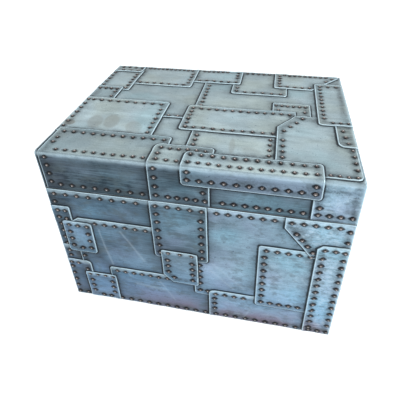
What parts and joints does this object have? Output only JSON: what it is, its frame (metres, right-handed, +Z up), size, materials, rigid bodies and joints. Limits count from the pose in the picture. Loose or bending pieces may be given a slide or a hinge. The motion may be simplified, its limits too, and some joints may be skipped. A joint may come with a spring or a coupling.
{
  "type": "patchwork metal-clad trunk",
  "caption": "Flat-topped wooden trunk clad in lapped, nailed patches of aged zinc sheet, with a lid that swings up on butt hinges at the back; for storing blankets and clothes.",
  "frame": {"origin": "centre of the base, on the floor", "axes": "+X to the right seen from the front, the front at -Y, +Z up"},
  "size_m": [0.5664, 0.4115, 0.404],
  "materials": {
    "front_sheets": "aged bluish zinc, brushed sideways, dark patina round nails and laps",
    "lid_sheets": "aged paler zinc with faint stains, worn bright along the edges",
    "side_sheets": "aged zinc",
    "bare_wood": "plain sawn softwood, oiled",
    "nail_heads": "dull bronze-brown domed heads",
    "hinge_steel": "darkened steel"
  },
  "bodies": {
    "chest": {"body_back_board": "bare_wood", "body_back_sheets": "side_sheets", "body_bottom_board": "bare_wood", "body_front_board": "bare_wood", "body_left_board": "bare_wood", "body_left_sheets": "side_sheets", "body_nails": "nail_heads", "body_right_board": "bare_wood", "body_right_sheets": "side_sheets", "front_bottom_left_corner": "front_sheets", "front_bottom_left_sheet": "front_sheets", "front_bottom_right_sheet": "front_sheets", "front_bottom_small_patch": "front_sheets", "front_centre_small_patch": "front_sheets", "front_centre_tall_patch": "front_sheets", "front_left_edge_lower": "front_sheets", "front_left_edge_upper": "front_sheets", "front_left_small_patch": "front_sheets", "front_middle_left_sheet": "front_sheets", "front_right_edge_strip": "front_sheets", "front_right_large_sheet": "front_sheets", "front_right_tall_patch": "front_sheets", "front_upper_left_band": "front_sheets", "front_upper_right_gusset": "front_sheets", "hinge_chest_leaves": "hinge_steel", "hinge_chest_screws": "hinge_steel", "hinge_pins": "hinge_steel"},
    "lid": {"hinge_lid_leaves": "hinge_steel", "hinge_lid_screws": "hinge_steel", "lid_back_board": "bare_wood", "lid_back_sheets": "side_sheets", "lid_front_board": "bare_wood", "lid_front_flat_sheet": "front_sheets", "lid_left_board": "bare_wood", "lid_left_fold": "lid_sheets", "lid_left_sheets": "side_sheets", "lid_long_fold": "lid_sheets", "lid_middle_fold": "lid_sheets", "lid_nails": "nail_heads", "lid_right_board": "bare_wood", "lid_right_corner_fold": "lid_sheets", "lid_right_sheets": "side_sheets", "lid_top_board": "bare_wood", "top_back_left_corner": "lid_sheets", "top_back_left_sheet": "lid_sheets", "top_back_middle_patch": "lid_sheets", "top_back_right_middle_sheet": "lid_sheets", "top_back_right_sheet": "lid_sheets", "top_centre_long_patch": "lid_sheets", "top_centre_small_patch": "lid_sheets", "top_front_middle_patch": "lid_sheets", "top_front_right_panel": "lid_sheets", "top_left_edge_lower": "lid_sheets", "top_left_edge_upper": "lid_sheets", "top_left_ground_sheet": "lid_sheets", "top_left_panel": "lid_sheets", "top_middle_ground_sheet": "lid_sheets", "top_right_edge_patch": "lid_sheets", "top_right_edge_strip": "lid_sheets", "top_right_ground_sheet": "lid_sheets"}
  },
  "joints": [
    {"name": "lid_hinge", "type": "hinge", "parent": "chest", "child": "lid", "pos_m": [0, 0.2035, 0.3155], "axis": [-1, 0, 0], "range_deg": [0, 100]}
  ]
}
